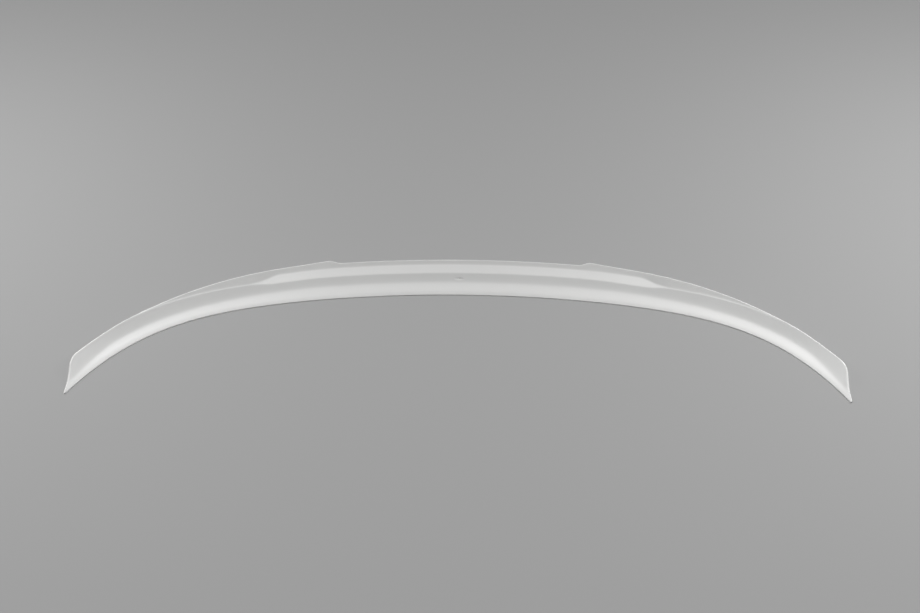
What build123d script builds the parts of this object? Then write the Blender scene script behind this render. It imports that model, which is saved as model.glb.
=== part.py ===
from build123d import *
import math
import os

# A boot-lid lip spoiler, moulded in one piece with a hollow, open underside.
# It lies on its flat bonding rim at z = 0, with X across the car and +Y to the rear.
# A place on it is given by s, the distance across the car of a point of the front edge,
# and by n, the distance behind that point, square to the front edge.

# Front edge, seen from above
HALF_SPAN = 627.5
CENTRE_BOW = 104.0
CORNER_SWEEP = 131.0
SWEEP_POWER = 6.75

# Ends, drawn in a little behind the tips
END_WAIST = 1.3
WAIST_SETBACK = 23.0
CORNER_RADIUS = 38.0
TIP_RADIUS = 1.8

# Section from front to rear, with slopes in degrees
EDGE_HEIGHT = 1.5
ROLL_OFFSET = 5.0
ROLL_SLOPE = 20.0
BAND_SLOPE = 6.0
BAND_WIDTH = 25.2
BAND_WIDTH_WING = 20.4
BAND_WIDTH_TIP = 8.0
RAMP_SLOPE = 36.0
RAMP_SLOPE_TIP = 31.0
CREASE_OFFSET = 38.5
CREASE_BULGE = 2.2
LEDGE_SLOPE = 12.0
LEDGE_WIDTH = 17.3
LINE_WIDTH = 1.5
LIP_SLOPE = 37.0

# How softly the section turns at each line
ROLL_SOFTNESS = 3.0
BAND_SOFTNESS = 4.0
CREASE_SOFTNESS = 0.8
LEDGE_SOFTNESS = 1.4

# Where along the span the section changes
BAND_NARROWS_FROM = 230.0
BAND_NARROWING_RUN = 250.0
BAND_TIP_RUN = 80.0
RAMP_TIP_RUN = 100.0
LEDGE_HALF_SPAN = 295.0
LEDGE_CLOSING_RUN = 53.0
BULGE_HALF_SPAN = 312.0
BULGE_INNER_RUN = 90.0
BULGE_OUTER_RUN = 32.0

# Trailing edge
LIP_OFFSET = 63.6
WING_OFFSET = 41.5
WING_START = 490.0
WING_RISE = 0.097
WING_SOFTNESS = 30.0
WING_CROWN = 2.2
CROWN_HALF_SPAN = 295.0
CROWN_RUN = 58.0
END_TAPER = 7.5
END_TAPER_RUN = 160.0
PEAK_HALF_SPAN = 219.0
NOTCH_RUN = 23.0

# Wall and edges, with the rim's radius as a share of the front edge's height
WALL = 3.0
FLANGE = 16.0
RIM_SHARE = 0.6

# Shallow hollow in the middle of the ramp, with a small pit in it
DIMPLE_OFFSET = 31.2
DIMPLE_LENGTH = 16.0
DIMPLE_WIDTH = 5.0
DIMPLE_DEPTH = 0.5
PIT_WIDTH = 3.6
PIT_DEPTH = 1.0

# How far the working shapes reach past the spoiler, and how finely they follow it
MARGIN = 14.0
STATION_STEP = 16.0
NODE_STEP = 2.0
CREASE_STEP = 1.0
LINE_POINTS = 8
FRONT_SPANS = 8
SMALL_STEP = 0.02


def smooth_step(value, start, run):
    """Rises from 0 at the start to 1 at the end of the run, level at both."""
    t = min(1.0, max(0.0, (value - start) / run))
    return t * t * (3.0 - 2.0 * t)


def soft_ramp(value, softness):
    """Nought below nought and the value itself above it, rounded between."""
    return 0.5 * (value + math.hypot(value, softness))


def rise(degrees):
    return math.tan(math.radians(degrees))


def spread(start, end, step):
    """Even places from start to end, about a step apart."""
    count = max(1, round((end - start) / step))
    return [start + (end - start) * k / count for k in range(count + 1)]


# The plan

def front_y(s):
    t = abs(s) / HALF_SPAN
    return -(CENTRE_BOW * t**2 + CORNER_SWEEP * t**SWEEP_POWER)


def rearward(s):
    """The level direction square to the front edge, pointing to the rear."""
    t = abs(s) / HALF_SPAN
    bow = 2.0 * CENTRE_BOW * t
    sweep = SWEEP_POWER * CORNER_SWEEP * t ** (SWEEP_POWER - 1.0)
    return Vector(math.copysign((bow + sweep) / HALF_SPAN, s), 1.0, 0.0).normalized()


def at(s, n, z=0.0):
    return Vector(s, front_y(s), z) + rearward(s) * n


def trailing_offset(s):
    """A plain lip in the middle, a peak at each side of it, and a wing that narrows outwards."""
    wing = WING_OFFSET + WING_RISE * soft_ramp(WING_START - abs(s), WING_SOFTNESS)
    wing += WING_CROWN * max(0.0, 1.0 - ((abs(s) - CROWN_HALF_SPAN) / CROWN_RUN) ** 2) ** 2
    wing -= END_TAPER * max(0.0, 1.0 - (HALF_SPAN - abs(s)) / END_TAPER_RUN) ** 2
    peak = smooth_step(abs(s), PEAK_HALF_SPAN - NOTCH_RUN, NOTCH_RUN)
    return LIP_OFFSET + (wing - LIP_OFFSET) * peak


def inner_offset(s):
    return trailing_offset(s) - WALL


def rear_reach():
    """How far behind the front edge the working shapes reach."""
    return max(LIP_OFFSET, trailing_offset(PEAK_HALF_SPAN)) + MARGIN


def end_station(offset, inset):
    """The s where a line along the span meets the end, moved in by the inset."""
    low, high = 0.0, HALF_SPAN + MARGIN
    while high - low > 0.01 * SMALL_STEP:
        middle = 0.5 * (low + high)
        if at(middle, offset(middle)).X > HALF_SPAN - inset:
            high = middle
        else:
            low = middle
    return low


def waisted_end(tip, corner):
    waist = Vector(tip.X - math.copysign(END_WAIST, tip.X), tip.Y + WAIST_SETBACK, tip.Z)
    return Edge.make_spline([tip, waist, corner])


def line_along(offset, marks):
    """Edges along the span from mark to mark, each meeting the next in one direction."""
    def place(s):
        return at(s, offset(s))

    def heading(s):
        return place(s + SMALL_STEP) - place(s - SMALL_STEP)

    edges = []
    for start, end in zip(marks, marks[1:]):
        points = [place(s) for s in spread(start, end, (end - start) / LINE_POINTS)]
        edges.append(Edge.make_spline(points, tangents=[heading(start), heading(end)]))
    return edges


def plan_prism(front_offset, rear_offset, end_inset, end_line, low, high):
    """An upright block between two lines along the span and a line at each end."""
    front_end = end_station(front_offset, end_inset)
    rear_end = end_station(rear_offset, end_inset)
    front_marks = spread(-front_end, front_end, 2.0 * front_end / FRONT_SPANS)
    peak = [PEAK_HALF_SPAN - NOTCH_RUN, PEAK_HALF_SPAN, 0.5 * (PEAK_HALF_SPAN + rear_end)]
    rear_marks = [-rear_end, *[-s for s in reversed(peak)], 0.0, *peak, rear_end]
    front = line_along(front_offset, front_marks)
    rear = line_along(rear_offset, rear_marks)
    ends = [
        end_line(front[0].position_at(0), rear[0].position_at(0)),
        end_line(front[-1].position_at(1), rear[-1].position_at(1)),
    ]
    face = Face(Wire([*front, *rear, *ends])).moved(Location((0, 0, low)))
    prism = Solid.extrude(face, Vector(0, 0, high - low))
    return round_uprights(prism, at(rear_end, rear_offset(rear_end)), CORNER_RADIUS - end_inset)


def round_uprights(prism, corner, radius):
    """Rounds the upright edges at one place on the plan and at its mirror place."""
    def is_there(edge):
        middle = edge.center()
        return math.hypot(abs(middle.X) - corner.X, middle.Y - corner.Y) < SMALL_STEP

    return prism.fillet(radius, [e for e in prism.edges().filter_by(Axis.Z) if is_there(e)])


# The section

def band_width(s):
    wing = smooth_step(abs(s), BAND_NARROWS_FROM, BAND_NARROWING_RUN)
    tip = smooth_step(abs(s), HALF_SPAN - BAND_TIP_RUN, BAND_TIP_RUN)
    width = BAND_WIDTH + (BAND_WIDTH_WING - BAND_WIDTH) * wing
    return width + (BAND_WIDTH_TIP - BAND_WIDTH_WING) * tip


def crease_offset(s):
    inner = smooth_step(abs(s), BULGE_HALF_SPAN - BULGE_INNER_RUN, BULGE_INNER_RUN)
    outer = smooth_step(abs(s), BULGE_HALF_SPAN, BULGE_OUTER_RUN)
    return CREASE_OFFSET - CREASE_BULGE * inner * (1.0 - outer)


def ledge_width(s):
    closed = smooth_step(abs(s), LEDGE_HALF_SPAN, LEDGE_CLOSING_RUN)
    return LEDGE_WIDTH + (LINE_WIDTH - LEDGE_WIDTH) * closed


def skin_height(s, n):
    """Height of the upper skin: rolled front edge, band, ramp, ledge and lip."""
    crease = crease_offset(s)
    ramp_slope = RAMP_SLOPE + (RAMP_SLOPE_TIP - RAMP_SLOPE) * smooth_step(
        abs(s), HALF_SPAN - RAMP_TIP_RUN, RAMP_TIP_RUN)
    turns = [
        (ROLL_OFFSET, ROLL_SLOPE, BAND_SLOPE, ROLL_SOFTNESS),
        (band_width(s), BAND_SLOPE, ramp_slope, BAND_SOFTNESS),
        (crease, ramp_slope, LEDGE_SLOPE, CREASE_SOFTNESS),
        (crease + ledge_width(s), LEDGE_SLOPE, LIP_SLOPE, LEDGE_SOFTNESS),
    ]
    height = EDGE_HEIGHT + rise(ROLL_SLOPE) * n
    for place, before, after, softness in turns:
        height += (rise(after) - rise(before)) * soft_ramp(n - place, softness)
    return height


def skin_slope(s, n):
    return (skin_height(s, n + SMALL_STEP) - skin_height(s, n - SMALL_STEP)) / (2.0 * SMALL_STEP)


def under_skin(drop):
    """Everything under the upper skin, or under that skin moved inwards by the drop."""
    first = -0.5 * MARGIN
    fine_from = CREASE_OFFSET - CREASE_BULGE - NODE_STEP
    fine_to = CREASE_OFFSET + LINE_WIDTH + NODE_STEP
    last = rear_reach()
    nodes = spread(first, fine_from, NODE_STEP)
    nodes += spread(fine_from, fine_to, CREASE_STEP)[1:]
    nodes += spread(fine_to, last, NODE_STEP)[1:]
    reach = HALF_SPAN + 0.5 * MARGIN
    sections = []
    for s in spread(-reach, reach, STATION_STEP):
        heights = [skin_height(s, n) - drop * math.hypot(skin_slope(s, n), 1.0) for n in nodes]
        top = [at(s, n, z) for n, z in zip(nodes, heights)]
        foot = [at(s, last, -2.0 * MARGIN), at(s, first, -2.0 * MARGIN)]
        sections.append(Wire([
            Edge.make_spline(top, parameters=[n - first for n in nodes]),
            Edge.make_line(top[-1], foot[0]),
            Edge.make_line(foot[0], foot[1]),
            Edge.make_line(foot[1], top[0]),
        ]))
    return Solid.make_loft(sections)


# The spoiler

def outer_body():
    """The closed outer form, with its upper rim rounded all round."""
    top = skin_height(0.0, rear_reach()) + MARGIN
    block = plan_prism(lambda s: 0.0, trailing_offset, 0.0, waisted_end, 0.0, top)
    block = round_uprights(block, at(HALF_SPAN, 0.0), TIP_RADIUS)
    body = (block & under_skin(0.0)).solid()
    rim = [e for e in body.edges() if e.bounding_box().min.Z > 0.5 * EDGE_HEIGHT]
    return body.fillet(RIM_SHARE * EDGE_HEIGHT, rim)


def hollow():
    """The space under the shell, behind the front land and inside the wall."""
    top = skin_height(0.0, rear_reach())
    inset = END_WAIST + WALL
    block = plan_prism(lambda s: FLANGE, inner_offset, inset, Edge.make_line, -MARGIN, top)
    return block & under_skin(WALL)


def arc_radius(width, depth):
    """The radius of an arc by its width and depth."""
    return (0.25 * width**2 + depth**2) / (2.0 * depth)


def dimple():
    """A lens-shaped hollow with a round pit, pressed square into the ramp."""
    across = arc_radius(DIMPLE_WIDTH, DIMPLE_DEPTH)
    along = arc_radius(DIMPLE_LENGTH, DIMPLE_DEPTH)
    pit = arc_radius(PIT_WIDTH, PIT_DEPTH)
    half = 0.5 * (DIMPLE_LENGTH + DIMPLE_WIDTH)
    end = across - along + math.sqrt(along**2 - half**2)
    arc = ThreePointArc((-half, end), (0.0, across), (half, end))
    profile = make_face([arc, Polyline((half, end), (half, 0.0), (-half, 0.0), (-half, end))])
    tilt = math.degrees(math.atan(skin_slope(0.0, DIMPLE_OFFSET)))
    ramp = Plane(at(0.0, DIMPLE_OFFSET, skin_height(0.0, DIMPLE_OFFSET))).rotated((tilt, 0, 0))
    lens = Pos(0, 0, across - DIMPLE_DEPTH) * revolve(profile, Axis.X)
    return ramp * (lens + Pos(0, 0, pit - PIT_DEPTH) * Sphere(pit))


shell = outer_body() - hollow() - dimple()
middle = shell.bounding_box().center()
shell = Pos(-middle.X, -middle.Y, 0) * shell

os.makedirs("parts", exist_ok=True)
export_step(shell, "parts/spoiler_shell.step")
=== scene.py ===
"""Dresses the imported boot-lid spoiler: one moulded white shell on a pale studio floor.

All lengths are in metres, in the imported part's own frame: X across the car, +Y to the rear, +Z up.
A place on the shell is given by a station, the distance across the car of a point of the front
edge, and an offset, the distance behind that point, square to the front edge.
"""

import logging
import math
from dataclasses import dataclass, field, fields
from enum import Enum
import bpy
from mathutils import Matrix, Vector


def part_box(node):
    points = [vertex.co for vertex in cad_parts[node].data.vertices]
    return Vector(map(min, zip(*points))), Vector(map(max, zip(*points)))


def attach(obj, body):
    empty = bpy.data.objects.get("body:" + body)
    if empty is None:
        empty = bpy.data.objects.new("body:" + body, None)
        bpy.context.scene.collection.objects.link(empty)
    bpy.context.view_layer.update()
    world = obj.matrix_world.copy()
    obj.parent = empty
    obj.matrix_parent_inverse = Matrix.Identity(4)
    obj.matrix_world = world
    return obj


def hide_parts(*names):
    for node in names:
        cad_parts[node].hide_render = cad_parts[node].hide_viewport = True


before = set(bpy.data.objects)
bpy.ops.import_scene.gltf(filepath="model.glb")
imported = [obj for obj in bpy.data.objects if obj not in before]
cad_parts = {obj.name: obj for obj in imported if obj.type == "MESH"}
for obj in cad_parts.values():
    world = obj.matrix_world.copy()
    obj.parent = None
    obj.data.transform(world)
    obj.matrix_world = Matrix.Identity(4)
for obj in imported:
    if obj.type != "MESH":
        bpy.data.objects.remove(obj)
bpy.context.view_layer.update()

from types import SimpleNamespace
from typing import Callable, List, Sequence, Tuple, Union

import bpy
from mathutils import Matrix, Vector

log = logging.getLogger("spoiler")

NODE = "spoiler_shell"
BODY = "root"
IMAGE_WIDTH = 920
TINY = 1e-9  # keeps a division clear of nought
HALF_STEP = 0.5  # half the step between whole numbers, for comparing them

Tree = bpy.types.NodeTree
Node = bpy.types.Node
Socket = bpy.types.NodeSocket
Material = bpy.types.Material
Number = Union["Field", float, int]
Triple = Tuple[float, float, float]


class Field:
    """A number that varies from point to point, held as a node's output in a node tree."""

    def __init__(self, tree: Tree, socket: Socket) -> None:
        """Keeps the tree and the output socket that gives the number."""
        self.tree = tree
        self.socket = socket

    def math(self, operation: str, *others: Number) -> "Field":
        """Joins this number with others in a Math node of an operation."""
        return maths(self.tree, operation, self, *others)

    def __add__(self, other: Number) -> "Field":
        """The sum, in either order."""
        return self.math("ADD", other)

    __radd__ = __add__

    def __sub__(self, other: Number) -> "Field":
        """The difference."""
        return self.math("SUBTRACT", other)

    def __rsub__(self, other: Number) -> "Field":
        """The difference, with a plain number first."""
        return maths(self.tree, "SUBTRACT", other, self)

    def __mul__(self, other: Number) -> "Field":
        """The product, in either order."""
        return self.math("MULTIPLY", other)

    __rmul__ = __mul__

    def __truediv__(self, other: Number) -> "Field":
        """The quotient."""
        return self.math("DIVIDE", other)

    def __pow__(self, other: Number) -> "Field":
        """The power."""
        return self.math("POWER", other)


def feed(tree: Tree, socket: Socket, value: Number) -> None:
    """Gives an input socket its value.

    Args:
        tree: The tree that holds the socket's node.
        socket: The input socket.
        value: A field to link, or a plain value to set.
    """
    if isinstance(value, Field):
        tree.links.new(value.socket, socket)
    else:
        socket.default_value = value


def maths(tree: Tree, operation: str, *values: Number) -> Field:
    """Adds one Math node.

    Args:
        tree: The tree to add it to.
        operation: The node's operation.
        *values: The node's inputs in order.

    Returns:
        The node's result.
    """
    node = tree.nodes.new("ShaderNodeMath")
    node.operation = operation
    for socket, value in zip(node.inputs, values):
        feed(tree, socket, value)
    return Field(tree, node.outputs[0])


def length_of(first: Field, second: Number) -> Field:
    """The longest side of a right triangle with two short sides."""
    return (first * first + second * second).math("SQRT")


def short_side(longest: Field, other: Field) -> Field:
    """A short side of a right triangle, or nought where the other short side is too long."""
    return (longest * longest - other * other).math("MAXIMUM", 0.0).math("SQRT")


def arc_radius(width: Field, depth: Field) -> Field:
    """The radius of an arc with a width and a depth."""
    return (0.25 * width * width + depth * depth) / (2.0 * depth)


def soft_ramp(value: Field, softness: Number) -> Field:
    """Nought below nought and the value itself above it, rounded over a softness between."""
    return 0.5 * (value + length_of(value, softness))


def soft_ramp_slope(value: Field, softness: Number) -> Field:
    """How steeply the rounded ramp rises at a value, from 0 to 1."""
    return 0.5 + 0.5 * value / length_of(value, softness)


def smooth_step(value: Field, start: Number, run: Number) -> Field:
    """A rise from 0 at a start to 1 after a run, level at both ends."""
    share = ((value - start) / run).math("MAXIMUM", 0.0).math("MINIMUM", 1.0)
    return share * share * (3.0 - 2.0 * share)


def blend(first: Number, second: Field, share: Field) -> Field:
    """The value that lies a share of the way from a first value to a second."""
    return first + (second - first) * share


def new_tree(name: str) -> Tree:
    """Starts an empty Geometry Nodes tree with its group input and output.

    Args:
        name: The tree's name.

    Returns:
        The tree.
    """
    tree = bpy.data.node_groups.new(name, "GeometryNodeTree")
    tree.nodes.new("NodeGroupInput")
    tree.nodes.new("NodeGroupOutput")
    return tree


def add_socket(tree: Tree, name: str, in_out: str = "INPUT", kind: str = "NodeSocketFloat") -> Field:
    """Adds a named socket to a tree's interface.

    Args:
        tree: The tree.
        name: The socket's name.
        in_out: INPUT or OUTPUT.
        kind: The socket's type.

    Returns:
        The socket inside the tree.
    """
    tree.interface.new_socket(name=name, in_out=in_out, socket_type=kind)
    if in_out == "INPUT":
        return Field(tree, tree.nodes["Group Input"].outputs[name])
    return Field(tree, tree.nodes["Group Output"].inputs[name])


def size_name(name: str) -> str:
    """The words for a size's field name, as the trees show them."""
    return name.replace("_", " ").capitalize()


def add_sizes(tree: Tree, sizes: object) -> SimpleNamespace:
    """Adds one named input to a tree for each size of a dataclass, and gives them by its names."""
    names = [size.name for size in fields(sizes)]
    return SimpleNamespace(**{name: add_socket(tree, size_name(name)) for name in names})


def set_sizes(holder: Union[bpy.types.Modifier, Node], tree: Tree, sizes: object) -> None:
    """Sets a tree's size inputs where the tree is used.

    Args:
        holder: The modifier or the group node that uses the tree.
        tree: The tree.
        sizes: The dataclass instance that holds the sizes.
    """
    for size in fields(sizes):
        item = tree.interface.items_tree[size_name(size.name)]
        if isinstance(holder, bpy.types.Modifier):
            holder[item.identifier] = getattr(sizes, size.name)
        else:
            holder.inputs[item.name].default_value = getattr(sizes, size.name)


def rise(degrees: float) -> float:
    """The rise per length of a slope in degrees."""
    return math.tan(math.radians(degrees))


@dataclass(frozen=True)
class PlanCurve:
    """Sizes of the front edge's curve seen from above, which the shell's tree needs too."""

    half_span: float = 0.6275
    centre_bow: float = 0.104
    corner_sweep: float = 0.131
    sweep_power: float = 6.75


@dataclass(frozen=True)
class PlanSizes(PlanCurve):
    """Sizes of the whole spoiler seen from above."""

    end_waist: float = 0.0013
    waist_setback: float = 0.023
    corner_radius: float = 0.038
    tip_radius: float = 0.0018
    lip_offset: float = 0.0636
    wing_offset: float = 0.0415
    wing_start: float = 0.490
    wing_rise: float = 0.097
    wing_softness: float = 0.030
    wing_crown: float = 0.0017
    crown_half_span: float = 0.294
    crown_run: float = 0.079
    wing_ease: float = 0.0025
    ease_half_span: float = 0.321
    ease_run: float = 0.028
    end_taper: float = 0.0075
    end_taper_run: float = 0.160
    peak_half_span: float = 0.219
    notch_run: float = 0.023


@dataclass(frozen=True)
class SkinSizes:
    """Sizes of the upper skin's section, with its slopes as rises per length."""

    half_span: float = PlanCurve.half_span
    edge_height: float = 0.0015
    roll_offset: float = 0.005
    roll_rise: float = rise(20.0)
    band_rise: float = rise(6.0)
    band_width: float = 0.0252
    band_width_wing: float = 0.0204
    band_width_tip: float = 0.008
    ramp_rise: float = rise(36.0)
    ramp_rise_tip: float = rise(31.0)
    crease_offset: float = 0.0385
    crease_bulge: float = 0.0022
    ledge_rise: float = rise(12.0)
    ledge_width: float = 0.0173
    line_width: float = 0.0015
    lip_rise: float = rise(37.0)
    roll_softness: float = 0.003
    band_softness: float = 0.004
    crease_softness: float = 0.0008
    ledge_softness: float = 0.0014
    band_narrows_from: float = 0.230
    band_narrowing_run: float = 0.250
    band_tip_run: float = 0.080
    ramp_tip_run: float = 0.100
    ledge_half_span: float = 0.295
    ledge_closing_run: float = 0.053
    bulge_half_span: float = 0.312
    bulge_inner_run: float = 0.090
    bulge_outer_run: float = 0.032


@dataclass(frozen=True)
class WallSizes:
    """Sizes of the shell's wall, its rounded rim and the small hollow in the ramp."""

    wall: float = 0.003
    land: float = 0.016
    rim_radius: float = 0.0009
    rear_rim_radius: float = 0.0016
    end_rim_radius: float = 0.0026
    dimple_offset: float = 0.0304
    dimple_length: float = 0.016
    dimple_width: float = 0.005
    dimple_depth: float = 0.0008
    pit_width: float = 0.0036
    pit_depth: float = 0.0013


class Run(Enum):
    """The runs of the section's loop, from the front edge's foot over the skin and back inside.

    Each has its place in the loop and the number of steps that it is drawn in.
    """

    FRONT_FACE = (0, 4)
    FRONT_ROLL = (1, 7)
    SKIN = (2, 116)
    REAR_ROLL = (3, 12)
    REAR_FACE = (4, 4)
    RIM = (5, 2)
    INNER_WALL = (6, 4)
    CEILING = (7, 26)
    INNER_FRONT = (8, 1)
    LAND = (9, 2)

    @property
    def place(self) -> int:
        """The run's place in the loop."""
        return self.value[0]

    @property
    def steps(self) -> int:
        """The number of steps that the run is drawn in."""
        return self.value[1]

    @property
    def start(self) -> int:
        """The number of the run's first point in the loop."""
        return sum(run.steps for run in Run if run.place < self.place)


class Plan:
    """The spoiler seen from above, and its rear outline."""

    ARC_STEPS = 24  # the fewest steps in an arc
    END_ROUNDS = 60  # rounds of the search for a nearest point of the end wall
    FOOT_ROUNDS = 40  # rounds of the search for a place's station
    HALVINGS = 50
    PROBE = 1e-4  # half the length over which an outline's direction is taken

    def __init__(self, sizes: PlanSizes, front_middle: float) -> None:
        """Finds where the end wall starts and ends.

        Args:
            sizes: The plan's sizes.
            front_middle: The Y of the front edge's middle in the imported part's frame.
        """
        self.sizes = sizes
        self.front_middle = front_middle
        self.tip_y = self.front(sizes.half_span).y
        corner = self.solve(lambda s: self.trailing(s).x - sizes.half_span)
        self.corner_y = self.trailing(corner).y

    def front(self, station: float) -> Vector:
        """The front edge's point at a station."""
        return self.at(station, 0.0)

    def steepness(self, station: float) -> float:
        """How far the front edge runs forward for each unit across the car.

        Args:
            station: The station, not below nought.

        Returns:
            The slope of the front edge in the plan.
        """
        z = self.sizes
        t = station / z.half_span
        sweep = z.sweep_power * z.corner_sweep * t ** (z.sweep_power - 1.0)
        return (2.0 * z.centre_bow * t + sweep) / z.half_span

    def rearward(self, station: float) -> Vector:
        """The direction square to the front edge at a station, pointing to the rear."""
        return Vector((self.steepness(station), 1.0)).normalized()

    def at(self, station: float, offset: float) -> Vector:
        """The place of a station and an offset in the plan.

        Args:
            station: The station, not below nought.
            offset: The distance behind the front edge.

        Returns:
            The place's X and Y.
        """
        z = self.sizes
        t = station / z.half_span
        bow = z.centre_bow * t**2 + z.corner_sweep * t**z.sweep_power
        return Vector((station, self.front_middle - bow)) + self.rearward(station) * offset

    def trailing_offset(self, station: float) -> float:
        """The offset of the trailing edge: a plain lip, a peak beside it and a narrowing wing.

        Args:
            station: The station, not below nought.

        Returns:
            The trailing edge's distance behind the front edge.
        """
        z = self.sizes
        to_start = z.wing_start - station
        wing = z.wing_offset
        wing += z.wing_rise * 0.5 * (to_start + math.hypot(to_start, z.wing_softness))
        crown = max(0.0, 1.0 - ((station - z.crown_half_span) / z.crown_run) ** 2)
        wing += z.wing_crown * crown**2
        ease = (station - z.ease_half_span) / z.ease_run
        wing -= z.wing_ease * ease * math.exp(-ease * ease)
        taper = max(0.0, 1.0 - (z.half_span - station) / z.end_taper_run)
        wing -= z.end_taper * taper**2
        t = (station - z.peak_half_span + z.notch_run) / z.notch_run
        t = min(1.0, max(0.0, t))
        return z.lip_offset + (wing - z.lip_offset) * t * t * (3.0 - 2.0 * t)

    def trailing(self, station: float) -> Vector:
        """The trailing edge's point at a station, before the end cuts it."""
        return self.at(station, self.trailing_offset(station))

    def trailing_outward(self, station: float) -> Vector:
        """The direction square to the trailing edge at a station."""
        ahead = self.trailing(station + self.PROBE) - self.trailing(abs(station - self.PROBE))
        return Vector((-ahead.y, ahead.x)).normalized()

    def end(self, y: float) -> Vector:
        """The point of the end wall at a Y, drawn in between the tip and the rear corner.

        Args:
            y: The Y.

        Returns:
            The point's X and Y.
        """
        z = self.sizes
        full = z.waist_setback * (self.corner_y - self.tip_y - z.waist_setback)
        drawn_in = z.end_waist * (y - self.tip_y) * (self.corner_y - y) / full
        return Vector((z.half_span - drawn_in, y))

    def end_outward(self, y: float) -> Vector:
        """The direction square to the end wall at a Y."""
        ahead = self.end(y + self.PROBE) - self.end(y - self.PROBE)
        return Vector((ahead.y, -ahead.x)).normalized()

    def end_foot(self, point: Vector) -> float:
        """The Y of the end wall's point that is nearest to a place in the plan.

        Args:
            point: The place.

        Returns:
            The nearest point's Y.
        """
        y = point.y
        for _ in range(self.END_ROUNDS):
            y = min(max(y, self.tip_y), self.corner_y)
            outward = self.end_outward(y)
            y = point.y - (point.x - self.end(y).x) * outward.y / outward.x
        return min(max(y, self.tip_y), self.corner_y)

    def past_end(self, point: Vector) -> float:
        """How far a point lies outside the end wall, or inside it if below nought."""
        y = self.end_foot(point)
        return (point - self.end(y)).dot(self.end_outward(y))

    def solve(self, measure: Callable[[float], float]) -> float:
        """Finds the station where a rising measure passes nought.

        Args:
            measure: A function of the station.

        Returns:
            The station.
        """
        low, high = 0.0, self.sizes.half_span
        for _ in range(self.HALVINGS):
            middle = 0.5 * (low + high)
            if measure(middle) > 0.0:
                high = middle
            else:
                low = middle
        return low

    def foot(self, point: Vector) -> Tuple[float, float]:
        """The station and the offset of a place in the plan.

        Args:
            point: The place.

        Returns:
            The station and the offset.
        """
        station = min(point.x, self.sizes.half_span)
        for _ in range(self.FOOT_ROUNDS):
            gap = point - self.front(station)
            along = Vector((1.0, -self.steepness(station)))
            station += gap.dot(along) / along.length_squared
        return station, (point - self.front(station)).dot(self.rearward(station))

    def rear_line(self, step: float) -> Tuple[List[Vector], List[Vector]]:
        """The rear outline from the middle to the front edge, finely divided.

        It follows the trailing edge, the rounded corner, the waisted end and the rounded tip.

        Args:
            step: About how far apart the points lie.

        Returns:
            The points, and the outline's outward direction at each.
        """
        z = self.sizes

        def corner_centre(station: float) -> Vector:
            """The centre of a corner arc that starts at a station of the trailing edge."""
            return self.trailing(station) - self.trailing_outward(station) * z.corner_radius

        def tip_centre(station: float) -> Vector:
            """The centre of a tip arc that ends at a station of the front edge."""
            return self.at(station, z.tip_radius)

        corner = self.solve(lambda s: self.past_end(corner_centre(s)) + z.corner_radius)
        tip = self.solve(lambda s: self.past_end(tip_centre(s)) + z.tip_radius)
        end_from = self.end_foot(corner_centre(corner))
        end_to = self.end_foot(tip_centre(tip))
        points, normals = [], []

        def add_arc(centre: Vector, radius: float, first: Vector, last: Vector) -> None:
            """Adds an arc to the outline.

            Args:
                centre: The arc's centre.
                radius: The arc's radius.
                first: The outward direction at its start.
                last: The outward direction at its end.
            """
            start = math.atan2(first.y, first.x)
            turn = math.atan2(last.y, last.x) - start
            arc_count = max(self.ARC_STEPS, round(abs(turn) * radius / step))
            for number in range(arc_count + 1):
                angle = start + turn * number / arc_count
                direction = Vector((math.cos(angle), math.sin(angle)))
                points.append(centre + direction * radius)
                normals.append(direction)

        count = round(corner / step)
        for k in range(count):
            points.append(self.trailing(corner * k / count))
            normals.append(self.trailing_outward(max(corner * k / count, self.PROBE)))
        add_arc(corner_centre(corner), z.corner_radius, self.trailing_outward(corner),
                self.end_outward(end_from))
        count = round((end_from - end_to) / step)
        for k in range(1, count):
            y = end_from + (end_to - end_from) * k / count
            points.append(self.end(y))
            normals.append(self.end_outward(y))
        add_arc(tip_centre(tip), z.tip_radius, self.end_outward(end_to), -self.rearward(tip))
        return points, normals


@dataclass(frozen=True)
class Section:
    """The ends of the section that each point lies in, as read from the spine."""

    RIM_SHARE = 0.2  # the most of the width that a rim's radius takes

    front_station: Field
    front_offset: Field
    rear_station: Field
    rear_offset: Field
    width: Field
    front_stretch: Field
    rear_stretch: Field
    end_share: Field

    def narrowed(self, rim: Field) -> Field:
        """A rim's radius, made smaller where the tip is narrow."""
        return rim.math("MINIMUM", self.width * self.RIM_SHARE)

    def place(self, across: Field) -> Tuple[Field, Field]:
        """The station and the offset at a distance behind the section's front."""
        share = across / self.width.math("MAXIMUM", TINY)
        return (blend(self.front_station, self.rear_station, share),
                blend(self.front_offset, self.rear_offset, share))


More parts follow.
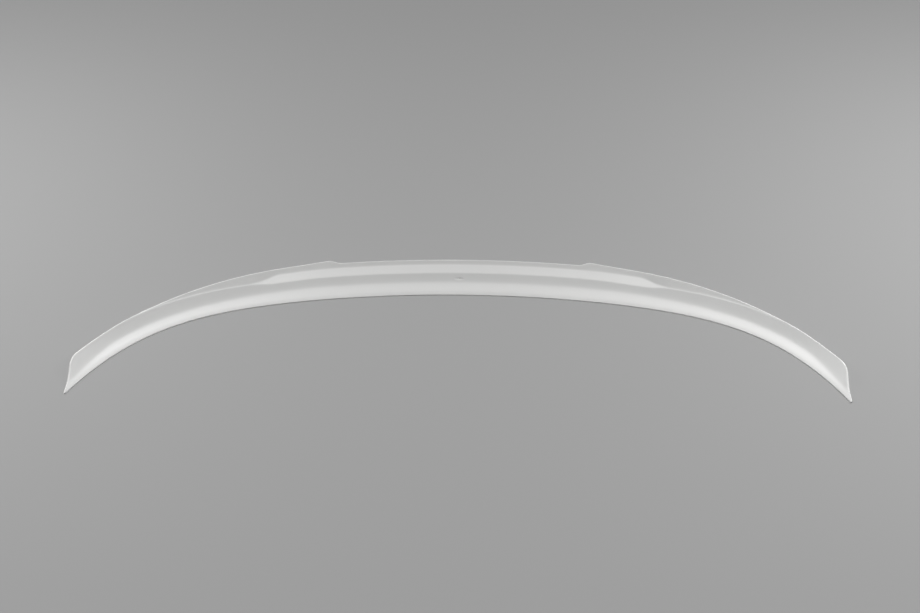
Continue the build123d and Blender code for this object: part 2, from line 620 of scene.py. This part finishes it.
@dataclass(frozen=True)
class Spine:
    """The row of stations along the span, as a mesh of loose points with attributes.

    The stations crowd at the middle, for the small hollow there, and towards the tips.
    """

    ATTRIBUTES = tuple(end.name for end in fields(Section))
    LINE_STEP = 0.0005
    MAX_STRETCH = 1.6
    SIDE_POWER = 6  # how late in the corner the end's rim takes over
    EVEN_SHARE = 0.3  # the share of the spacing that is even
    NARROWEST = 1e-7  # a section narrower than this has no direction of its own

    plan: Plan
    half_count: int = 215
    crowding: float = 0.85
    crowd_reach: float = 0.09

    def rear_share(self, t: float) -> float:
        """The share of the rear outline that ends at a station, from its share of the count."""
        eased = self.EVEN_SHARE * t + (1.0 - self.EVEN_SHARE) * math.sin(0.5 * math.pi * t)
        return eased - self.crowding * t * math.exp(-((t / self.crowd_reach) ** 2))

    def half(self) -> List[Tuple[float, ...]]:
        """The attributes of the stations from the middle to the tip.

        Returns:
            One tuple for each station, in the order of the attributes' names.
        """
        points, normals = self.plan.rear_line(self.LINE_STEP)
        reach = [0.0]
        for first, second in zip(points, points[1:]):
            reach.append(reach[-1] + (second - first).length)
        front_end, _ = self.plan.foot(points[-1])
        turning = next(k for k, point in enumerate(points) if self.plan.foot(point)[0] > front_end)
        apex = 0.5 * (reach[turning] + reach[-1])

        def along(distance: float) -> Tuple[Vector, Vector]:
            """Follows the rear outline.

            Args:
                distance: The distance from the middle.

            Returns:
                The outline's point and outward direction there.
            """
            distance = min(max(distance, 0.0), reach[-1])
            k = next(i for i in range(1, len(reach)) if reach[i] >= distance)
            share = (distance - reach[k - 1]) / max(reach[k] - reach[k - 1], TINY)
            direction = normals[k - 1].lerp(normals[k], share).normalized()
            return points[k - 1].lerp(points[k], share), direction

        rows = []
        for number in range(self.half_count + 1):
            distance = apex * self.rear_share(number / self.half_count)
            rear, rear_out = along(distance)
            station, offset = self.plan.foot(rear)
            front, front_out = self.plan.front(station), -self.plan.rearward(station)
            if distance > reach[turning]:
                front, front_out = along(2.0 * apex - distance)
            front_station, front_offset = self.plan.foot(front)
            across = rear - front
            width = across.length
            direction = across / width if width > self.NARROWEST else self.plan.rearward(station)
            front_stretch = self.stretch(-front_out.dot(direction))
            rear_stretch = self.stretch(rear_out.dot(direction))
            end_share = max(rear_out.x, 0.0) ** self.SIDE_POWER
            rows.append((front_station, front_offset, station, offset, width,
                         front_stretch, rear_stretch, end_share))
        return rows

    def stretch(self, facing: float) -> float:
        """How much longer than square to the edge a length is along a section that crosses it."""
        return 1.0 / max(facing, 1.0 / self.MAX_STRETCH)

    def mesh(self) -> bpy.types.Mesh:
        """The stations of both sides, from tip to tip.

        Returns:
            A mesh of loose points that carries the attributes.
        """
        right = self.half()
        left = [(-row[0], row[1], -row[2], *row[3:]) for row in reversed(right[1:])]
        rows = left + right
        mesh = bpy.data.meshes.new("stations")
        mesh.from_pydata([(row[0], 0.0, 0.0) for row in rows], [], [])
        for column, name in enumerate(self.ATTRIBUTES):
            attribute = mesh.attributes.new(name, "FLOAT", "POINT")
            attribute.data.foreach_set("value", [row[column] for row in rows])
        return mesh


class SkinTree:
    """The node group that gives the upper skin's height and slope at a station and an offset."""

    def __init__(self, sizes: SkinSizes) -> None:
        """Builds the group.

        Args:
            sizes: The sizes of the skin's section.
        """
        self.sizes = sizes
        self.tree = new_tree("Skin height")
        station = add_socket(self.tree, "Station").math("ABSOLUTE")
        offset = add_socket(self.tree, "Offset")
        inputs = add_sizes(self.tree, sizes)
        height, slope = self.section(inputs, station, offset)
        for name, value in (("Height", height), ("Slope", slope)):
            end = add_socket(self.tree, name, "OUTPUT")
            feed(self.tree, end.socket, value)

    @staticmethod
    def section(z: SimpleNamespace, station: Field, offset: Field) -> Tuple[Field, Field]:
        """The section's rule: rolled front edge, band, ramp, ledge and lip.

        Args:
            z: The sizes, as the group's inputs.
            station: The station, not below nought.
            offset: The distance behind the front edge.

        Returns:
            The skin's height above the floor, and its rise to the rear.
        """
        wing = smooth_step(station, z.band_narrows_from, z.band_narrowing_run)
        tip = smooth_step(station, z.half_span - z.band_tip_run, z.band_tip_run)
        band = blend(z.band_width, z.band_width_wing, wing)
        band = band + (z.band_width_tip - z.band_width_wing) * tip
        inner = smooth_step(station, z.bulge_half_span - z.bulge_inner_run, z.bulge_inner_run)
        outer = smooth_step(station, z.bulge_half_span, z.bulge_outer_run)
        crease = z.crease_offset - z.crease_bulge * inner * (1.0 - outer)
        closed = smooth_step(station, z.ledge_half_span, z.ledge_closing_run)
        foot = crease + blend(z.ledge_width, z.line_width, closed)
        end = smooth_step(station, z.half_span - z.ramp_tip_run, z.ramp_tip_run)
        ramp = blend(z.ramp_rise, z.ramp_rise_tip, end)
        turns = (
            (z.roll_offset, z.band_rise - z.roll_rise, z.roll_softness),
            (band, ramp - z.band_rise, z.band_softness),
            (crease, z.ledge_rise - ramp, z.crease_softness),
            (foot, z.lip_rise - z.ledge_rise, z.ledge_softness),
        )
        height = z.edge_height + z.roll_rise * offset
        slope = z.roll_rise
        for place, change, softness in turns:
            height = height + change * soft_ramp(offset - place, softness)
            slope = slope + change * soft_ramp_slope(offset - place, softness)
        return height, slope

    def use(self, tree: Tree, station: Field, offset: Field) -> Tuple[Field, Field]:
        """Adds the group to another tree.

        Args:
            tree: The other tree.
            station: The station there.
            offset: The offset there.

        Returns:
            The skin's height and slope there.
        """
        node = tree.nodes.new("GeometryNodeGroup")
        node.node_tree = self.tree
        set_sizes(node, self.tree, self.sizes)
        feed(tree, node.inputs["Station"], station)
        feed(tree, node.inputs["Offset"], offset)
        return Field(tree, node.outputs["Height"]), Field(tree, node.outputs["Slope"])


class ShellTree:
    """The tree that draws the shell: one closed section loop at each station of the spine."""

    POINTS = sum(run.steps for run in Run) + 1
    MERGE = 4e-6
    SHARP = math.radians(38.0)  # a bend that shows as a corner
    UNDERSIDE = "underside"
    WHOLLY_UNDER = 0.99  # passed only where all of a face's points lie under the shell

    def __init__(self, skin: SkinTree, walls: WallSizes, outside: Material, inside: Material) -> None:
        """Builds the tree.

        Args:
            skin: The group that gives the skin's height.
            walls: The wall's sizes.
            outside: The finish of the outer skin.
            inside: The finish of the hollow underside.
        """
        self.skin = skin
        self.outside = outside
        self.inside = inside
        self.tree = new_tree("Spoiler shell")
        self.spine = add_socket(self.tree, "Stations", kind="NodeSocketGeometry")
        self.wall_inputs = add_sizes(self.tree, walls)
        self.plan_inputs = add_sizes(self.tree, PlanCurve())
        self.front_middle = add_socket(self.tree, "Front middle")
        self.build()

    def node(self, kind: str) -> Node:
        """Adds a node to the tree."""
        return self.tree.nodes.new(kind)

    def step(self, kind: str, before: Socket) -> Node:
        """Adds a node that changes a geometry.

        Args:
            kind: The node's type.
            before: The socket that gives the geometry.

        Returns:
            The node.
        """
        node = self.node(kind)
        self.tree.links.new(before, node.inputs["Geometry"])
        return node

    def stored(self, name: str) -> Field:
        """Reads an attribute that the geometry carries.

        Args:
            name: The attribute's name.

        Returns:
            The attribute's value.
        """
        node = self.node("GeometryNodeInputNamedAttribute")
        node.inputs["Name"].default_value = name
        return Field(self.tree, node.outputs["Attribute"])

    def sampled(self, name: str, station_number: Field) -> Field:
        """Reads one of the spine's attributes at the station of each point.

        Args:
            name: The attribute's name.
            station_number: The number of the point's station.

        Returns:
            The attribute's value.
        """
        sample = self.node("GeometryNodeSampleIndex")
        feed(self.tree, sample.inputs["Geometry"], self.spine)
        feed(self.tree, sample.inputs["Value"], self.stored(name))
        feed(self.tree, sample.inputs["Index"], station_number)
        return Field(self.tree, sample.outputs["Value"])

    @staticmethod
    def reaches(count: Field, least: int) -> Field:
        """One where a whole number is as large as another or larger, and nought elsewhere."""
        return count.math("GREATER_THAN", least - HALF_STEP)

    def choose(self, run_number: Field, values: Sequence[Number]) -> Field:
        """Picks the value that belongs to each point's run.

        Args:
            run_number: The number of the point's run.
            values: One value for each run, in order.

        Returns:
            The value picked.
        """
        switch = self.node("GeometryNodeIndexSwitch")
        switch.data_type = "FLOAT"
        while len(switch.index_switch_items) < len(values):
            switch.index_switch_items.new()
        feed(self.tree, switch.inputs["Index"], run_number)
        for number, value in enumerate(values):
            feed(self.tree, switch.inputs[number + 1], value)
        return Field(self.tree, switch.outputs["Output"])

    def edge_roll(self, section: Section, at: Field, radius: Field, rim: Field) -> Tuple[Field, Field]:
        """The rounding of a rim, as an ellipse that touches the skin and the upright face.

        Args:
            section: The section's ends.
            at: The distance of the ellipse's middle behind the section's front.
            radius: The ellipse's radius along the section.
            rim: The ellipse's upright radius.

        Returns:
            The height of the ellipse's middle, and the angle at which it touches the skin.
        """
        height, slope = self.skin.use(self.tree, *section.place(at))
        lean = slope * radius
        return height - length_of(lean, rim), 0.5 * math.pi + maths(self.tree, "ARCTAN2", lean, rim)

    def dimple(self, station: Field, offset: Field, slope: Field) -> Field:
        """How deep the lens-shaped hollow and the pit in the ramp lie at a place of the skin.

        Args:
            station: The station.
            offset: The offset.
            slope: The skin's rise there.

        Returns:
            The depth, square to the skin.
        """
        z = self.wall_inputs
        across = (offset - z.dimple_offset) * length_of(slope, 1.0)
        wide = arc_radius(z.dimple_width, z.dimple_depth)
        long = arc_radius(z.dimple_length, z.dimple_depth)
        small = arc_radius(z.pit_width, z.pit_depth)
        belly = (wide - long + short_side(long, station)).math("MAXIMUM", 0.0)
        lens = short_side(belly, across) - wide + z.dimple_depth
        pit = short_side(small, length_of(station, across)) - small + z.pit_depth
        return lens.math("MAXIMUM", pit).math("MAXIMUM", 0.0)

    def build(self) -> None:
        """Joins the whole tree, from a flat grid of stations and loop points to the shell."""
        tree = self.tree
        count = self.node("GeometryNodeAttributeDomainSize")
        feed(tree, count.inputs["Geometry"], self.spine)
        grid = self.node("GeometryNodeMeshGrid")
        tree.links.new(count.outputs["Point Count"], grid.inputs["Vertices X"])
        grid.inputs["Vertices Y"].default_value = self.POINTS
        index = Field(tree, self.node("GeometryNodeInputIndex").outputs["Index"])
        number = (index / self.POINTS + HALF_STEP / self.POINTS).math("FLOOR")
        point = index - number * self.POINTS
        run = sum(self.reaches(point, later.start) for later in list(Run)[1:])
        start = self.choose(run, [each.start for each in Run])
        t = (point - start) / self.choose(run, [each.steps for each in Run])
        section = Section(*(self.sampled(name, number) for name in Spine.ATTRIBUTES))
        placed = self.step("GeometryNodeSetPosition", grid.outputs["Mesh"])
        tree.links.new(self.loop(section, run, t), placed.inputs["Position"])
        marked = self.step("GeometryNodeStoreNamedAttribute", placed.outputs["Geometry"])
        marked.inputs["Name"].default_value = self.UNDERSIDE
        feed(tree, marked.inputs["Value"], self.reaches(run, Run.RIM.place))
        merged = self.step("GeometryNodeMergeByDistance", marked.outputs["Geometry"])
        merged.inputs["Distance"].default_value = self.MERGE
        self.finish(merged.outputs["Geometry"])

    def loop(self, section: Section, run: Field, t: Field) -> Socket:
        """Draws the section's loop. Its lists hold one value for each run, in the runs' order.

        Args:
            section: The section's ends.
            run: The number of each point's run.
            t: How far along its run each point lies, as a share.

        Returns:
            The socket that gives each point's place.
        """
        z = self.wall_inputs
        width = section.width
        front_rim = section.narrowed(z.rim_radius)
        rear_rim = section.narrowed(blend(z.rear_rim_radius, z.end_rim_radius, section.end_share))
        front_radius = front_rim * section.front_stretch
        rear_radius = rear_rim * section.rear_stretch
        front_height, front_touch = self.edge_roll(section, front_radius, front_radius, front_rim)
        rear_height, rear_touch = self.edge_roll(section, width - rear_radius, rear_radius, rear_rim)
        front_angle = blend(math.pi, front_touch, t)
        rear_angle = rear_touch * (1.0 - t)
        skin_start = front_radius + front_radius * front_touch.math("COSINE")
        skin_end = width - rear_radius + rear_radius * rear_touch.math("COSINE")
        inner_wall = (width - z.wall * section.rear_stretch).math("MAXIMUM", 0.0)
        land = z.land.math("MINIMUM", inner_wall)
        across = self.choose(run, [
            0.0,
            front_radius + front_radius * front_angle.math("COSINE"),
            blend(skin_start, skin_end, t),
            width - rear_radius + rear_radius * rear_angle.math("COSINE"),
            width,
            blend(width, inner_wall, t),
            inner_wall,
            blend(inner_wall, land, t),
            land,
            land * (1.0 - t),
        ])
        station, offset = section.place(across)
        height, slope = self.skin.use(self.tree, station, offset)
        steep = length_of(slope, 1.0)
        is_hollow = (inner_wall - land).math("GREATER_THAN", 0.0)
        ceiling = (height - z.wall * steep).math("MAXIMUM", 0.0) * is_hollow
        is_skin = run.math("COMPARE", Run.SKIN.place, HALF_STEP)
        depth = self.dimple(station, offset, slope) * is_skin
        raised = self.choose(run, [
            front_height * t,
            front_height + front_rim * front_angle.math("SINE"),
            height - depth / steep,
            rear_height + rear_rim * rear_angle.math("SINE"),
            rear_height * (1.0 - t),
            0.0,
            ceiling * t,
            ceiling,
            ceiling * (1.0 - t),
            0.0,
        ])
        return self.position(station, offset + depth * slope / steep, raised)

    def position(self, station: Field, offset: Field, height: Field) -> Socket:
        """The place of a station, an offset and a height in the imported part's frame.

        Args:
            station: The station.
            offset: The offset.
            height: The height above the floor.

        Returns:
            The socket that gives the place.
        """
        z = self.plan_inputs
        t = station.math("ABSOLUTE") / z.half_span
        sweep = z.corner_sweep * t**z.sweep_power
        bow = z.centre_bow * t * t
        sweep_slope = z.sweep_power * z.corner_sweep * t ** (z.sweep_power - 1.0)
        steepness = (2.0 * z.centre_bow * t + sweep_slope) / z.half_span * station.math("SIGN")
        reach = offset / length_of(steepness, 1.0)
        join = self.node("ShaderNodeCombineXYZ")
        feed(self.tree, join.inputs["X"], station + steepness * reach)
        feed(self.tree, join.inputs["Y"], self.front_middle - bow - sweep + reach)
        feed(self.tree, join.inputs["Z"], height)
        return join.outputs["Vector"]

    def finish(self, mesh: Socket) -> None:
        """Ends the tree: smooth shading with sharp corners, then the two finishes.

        Args:
            mesh: The socket that gives the merged mesh.
        """
        tree = self.tree
        angle = Field(tree, self.node("GeometryNodeInputMeshEdgeAngle").outputs["Unsigned Angle"])
        sharp = self.step("GeometryNodeSetShadeSmooth", mesh)
        sharp.domain = "EDGE"
        sharp.inputs["Shade Smooth"].default_value = False
        feed(tree, sharp.inputs["Selection"], angle.math("GREATER_THAN", self.SHARP))
        under = self.stored(self.UNDERSIDE).math("GREATER_THAN", self.WHOLLY_UNDER)
        last = self.step("GeometryNodeRealizeInstances", sharp.outputs["Geometry"])
        for finish, chosen in ((self.outside, True), (self.inside, under)):
            last = self.step("GeometryNodeSetMaterial", last.outputs["Geometry"])
            last.inputs["Material"].default_value = finish
            feed(tree, last.inputs["Selection"], chosen)
        end = add_socket(tree, "Shell", "OUTPUT", "NodeSocketGeometry")
        tree.links.new(last.outputs["Geometry"], end.socket)


@dataclass(frozen=True)
class MouldedFinish:
    """A moulded white surface: faint clouds in its colour, a fine orange peel and uneven gloss."""

    CLOUD_DETAIL = 4.0
    GLOSS_DETAIL = 3.0
    GLOSS_SPREAD = (0.3, 0.7)  # the noise's values at the two roughnesses
    PEEL_DETAIL = 2.0

    name: str
    colour: Triple
    cloud_colour: Triple
    cloud_scale: float
    roughness: Tuple[float, float]
    gloss_scale: float
    peel_scale: float
    peel_depth: float
    specular: float

    def material(self) -> Material:
        """Builds the finish as a material.

        Returns:
            The material.
        """
        material = bpy.data.materials.new(self.name)
        material.use_nodes = True
        tree = material.node_tree
        shader = tree.nodes["Principled BSDF"]
        shader.inputs["Specular IOR Level"].default_value = self.specular
        places = tree.nodes.new("ShaderNodeTexCoord").outputs["Object"]
        clouds = self.noise(tree, places, self.cloud_scale, self.CLOUD_DETAIL)
        colours = tree.nodes.new("ShaderNodeMix")
        colours.data_type = "RGBA"
        tree.links.new(clouds, colours.inputs["Factor"])
        colours.inputs["A"].default_value = (*self.colour, 1.0)
        colours.inputs["B"].default_value = (*self.cloud_colour, 1.0)
        tree.links.new(colours.outputs["Result"], shader.inputs["Base Color"])
        gloss = tree.nodes.new("ShaderNodeMapRange")
        patches = self.noise(tree, places, self.gloss_scale, self.GLOSS_DETAIL)
        tree.links.new(patches, gloss.inputs["Value"])
        for name, value in zip(("From Min", "From Max", "To Min", "To Max"),
                               (*self.GLOSS_SPREAD, *self.roughness)):
            gloss.inputs[name].default_value = value
        tree.links.new(gloss.outputs["Result"], shader.inputs["Roughness"])
        peel = tree.nodes.new("ShaderNodeBump")
        peel.inputs["Distance"].default_value = self.peel_depth
        grains = self.noise(tree, places, self.peel_scale, self.PEEL_DETAIL)
        tree.links.new(grains, peel.inputs["Height"])
        tree.links.new(peel.outputs["Normal"], shader.inputs["Normal"])
        return material

    @staticmethod
    def noise(tree: Tree, places: Socket, scale: float, detail: float) -> Socket:
        """Adds a noise texture.

        Args:
            tree: The material's tree.
            places: The coordinates it reads.
            scale: Its scale.
            detail: Its detail.

        Returns:
            The socket that gives its value.
        """
        node = tree.nodes.new("ShaderNodeTexNoise")
        node.inputs["Scale"].default_value = scale
        node.inputs["Detail"].default_value = detail
        tree.links.new(places, node.inputs["Vector"])
        return node.outputs["Fac"]


class Finish(Enum):
    """The two finishes of the one moulding."""

    OUTSIDE = MouldedFinish(
        "satin_white", colour=(0.80, 0.80, 0.79), cloud_colour=(0.775, 0.776, 0.768), cloud_scale=9.0,
        roughness=(0.40, 0.50), gloss_scale=40.0, peel_scale=700.0, peel_depth=0.00002, specular=0.45)
    INSIDE = MouldedFinish(
        "raw_underside", colour=(0.70, 0.70, 0.68), cloud_colour=(0.62, 0.62, 0.60), cloud_scale=30.0,
        roughness=(0.65, 0.80), gloss_scale=120.0, peel_scale=900.0, peel_depth=0.00015, specular=0.3)


@dataclass
class SpoilerShell:
    """The one moulded piece: its plan, its section and its two finishes."""

    plan_sizes: PlanSizes = field(default_factory=PlanSizes)
    skin_sizes: SkinSizes = field(default_factory=SkinSizes)
    walls: WallSizes = field(default_factory=WallSizes)

    def build(self) -> bpy.types.Object:
        """Draws the shell by its node tree and leaves it as a plain mesh.

        Returns:
            The shell's object.
        """
        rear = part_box(NODE)[1][1]
        plan = Plan(self.plan_sizes, rear - self.plan_sizes.lip_offset)
        finishes = [finish.value.material() for finish in Finish]
        tree = ShellTree(SkinTree(self.skin_sizes), self.walls, *finishes).tree
        shell = bpy.data.objects.new("spoiler_shell_skin", Spine(plan).mesh())
        bpy.context.collection.objects.link(shell)
        drawing = shell.modifiers.new("drawing", "NODES")
        drawing.node_group = tree
        for sizes in (self.walls, PlanCurve()):
            set_sizes(drawing, tree, sizes)
        drawing[tree.interface.items_tree["Front middle"].identifier] = plan.front_middle
        evaluated = shell.evaluated_get(bpy.context.evaluated_depsgraph_get())
        stations = shell.data
        mesh = bpy.data.meshes.new_from_object(evaluated)
        shell.modifiers.clear()
        shell.data = mesh
        bpy.data.meshes.remove(stations)
        return shell

    def dress(self, shell: bpy.types.Object) -> None:
        """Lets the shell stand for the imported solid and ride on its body.

        Args:
            shell: The shell's object.
        """
        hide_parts(NODE)
        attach(shell, BODY)


@dataclass(frozen=True)
class Softbox:
    """A square soft lamp."""

    name: str
    place: Triple
    target: Triple
    side: float
    power: float

    def build(self) -> None:
        """Adds the lamp to the scene."""
        lamp = bpy.data.lights.new(self.name, "AREA")
        lamp.size = self.side
        lamp.energy = self.power
        holder = bpy.data.objects.new(self.name, lamp)
        holder.location = self.place
        aim = Vector(self.target) - Vector(self.place)
        holder.rotation_euler = aim.to_track_quat("-Z", "Y").to_euler()
        bpy.context.collection.objects.link(holder)


@dataclass
class Studio:
    """The pale floor, the soft light and the camera."""

    floor_colour: Triple = (0.5, 0.5, 0.5)
    floor_roughness: float = 0.9
    floor_side: float = 30.0
    floor_drop: float = 0.0003
    backdrop_colour: Triple = (0.33, 0.33, 0.33)
    backdrop_share: float = 0.7
    sky_colour: Triple = (1.0, 1.0, 1.0)
    sky_strength: float = 0.09
    sky_seen_strength: float = 0.245
    lamps: Tuple[Softbox, ...] = (
        Softbox("left_softbox", (-1.14, 0.44, 1.04), (-1.14, -0.6, 0.0), side=0.7, power=18.7),
        Softbox("right_softbox", (1.14, 0.44, 1.04), (1.14, -0.6, 0.0), side=0.7, power=21.2),
        Softbox("front_fill", (0.0, -1.9, 1.3), (0.0, 0.0, 0.0), side=1.4, power=3.2),
        Softbox("rear_wash", (0.0, 2.2, 1.5), (0.0, 1.5, 0.0), side=1.2, power=3.0),
    )
    camera_distance: float = 2.4
    elevation: float = math.radians(46.0)
    yaw: float = math.radians(2.79)
    roll: float = math.radians(-1.48)
    focal_pixels: float = 1422.4
    aim: Triple = (0.0030, 0.0564, 0.0)

    def build(self) -> None:
        """Adds the floor, the light and the camera to the scene."""
        self.build_floor()
        self.build_sky()
        for lamp in self.lamps:
            lamp.build()
        self.build_camera()
        bpy.context.scene.view_settings.view_transform = "Standard"

    @staticmethod
    def seen(tree: Tree) -> Field:
        """Tells the rays that show the floor or the sky from the rays that light the shell.

        Args:
            tree: The tree of the floor's material or of the sky.

        Returns:
            One for a ray that is seen, directly or in a gloss, and nought for any other.
        """
        rays = tree.nodes.new("ShaderNodeLightPath")
        seen = Field(tree, rays.outputs["Is Camera Ray"])
        for name in ("Is Glossy Ray", "Is Transmission Ray"):
            seen = seen.math("MAXIMUM", Field(tree, rays.outputs[name]))
        return seen

    def build_floor(self) -> None:
        """Adds the plain floor just under the shell, evened out where it is seen."""
        half = 0.5 * self.floor_side
        outline = ((-half, -half), (half, -half), (half, half), (-half, half))
        corners = [(x, y, -self.floor_drop) for x, y in outline]
        mesh = bpy.data.meshes.new("floor")
        mesh.from_pydata(corners, [], [(0, 1, 2, 3)])
        material = bpy.data.materials.new("pale_floor")
        material.use_nodes = True
        material.cycles.emission_sampling = "NONE"
        tree = material.node_tree
        shader = tree.nodes["Principled BSDF"]
        shader.inputs["Base Color"].default_value = (*self.floor_colour, 1.0)
        shader.inputs["Roughness"].default_value = self.floor_roughness
        backdrop = tree.nodes.new("ShaderNodeEmission")
        backdrop.inputs["Color"].default_value = (*self.backdrop_colour, 1.0)
        mix = tree.nodes.new("ShaderNodeMixShader")
        feed(tree, mix.inputs[0], self.seen(tree) * self.backdrop_share)
        tree.links.new(shader.outputs[0], mix.inputs[1])
        tree.links.new(backdrop.outputs[0], mix.inputs[2])
        tree.links.new(mix.outputs[0], tree.nodes["Material Output"].inputs["Surface"])
        mesh.materials.append(material)
        floor = bpy.data.objects.new("floor", mesh)
        bpy.context.collection.objects.link(floor)

    def build_sky(self) -> None:
        """Sets the even light all round, and how bright it shows where it is seen."""
        world = bpy.data.worlds.new("studio")
        world.use_nodes = True
        tree = world.node_tree
        light = tree.nodes["Background"]
        light.inputs["Color"].default_value = (*self.sky_colour, 1.0)
        lift = self.sky_seen_strength - self.sky_strength
        feed(tree, light.inputs["Strength"], self.seen(tree) * lift + self.sky_strength)
        bpy.context.scene.world = world

    def build_camera(self) -> None:
        """Adds the camera at the photograph's viewing angle."""
        forward = Vector((-math.sin(self.yaw) * math.cos(self.elevation),
                          math.cos(self.yaw) * math.cos(self.elevation), -math.sin(self.elevation)))
        right = forward.cross(Vector((0.0, 0.0, 1.0))).normalized()
        up = right.cross(forward)
        turned_right = right * math.cos(self.roll) + up * math.sin(self.roll)
        turned_up = up * math.cos(self.roll) - right * math.sin(self.roll)
        data = bpy.data.cameras.new("camera")
        data.lens = data.sensor_width * self.focal_pixels / IMAGE_WIDTH
        camera = bpy.data.objects.new("camera", data)
        turn = Matrix((turned_right, turned_up, -forward)).transposed()
        place = Vector(self.aim) - forward * self.camera_distance
        camera.matrix_world = Matrix.Translation(place) @ turn.to_4x4()
        bpy.context.collection.objects.link(camera)
        bpy.context.scene.camera = camera


def main() -> None:
    """Builds the shell and the studio, and reports what was made."""
    logging.basicConfig(level=logging.INFO, format="%(name)s: %(message)s")
    spoiler = SpoilerShell()
    shell = spoiler.build()
    spoiler.dress(shell)
    log.info("%s: %d faces", shell.name, len(shell.data.polygons))
    Studio().build()
    log.info("studio: floor, light and camera")


if __name__ == "__main__":
    main()
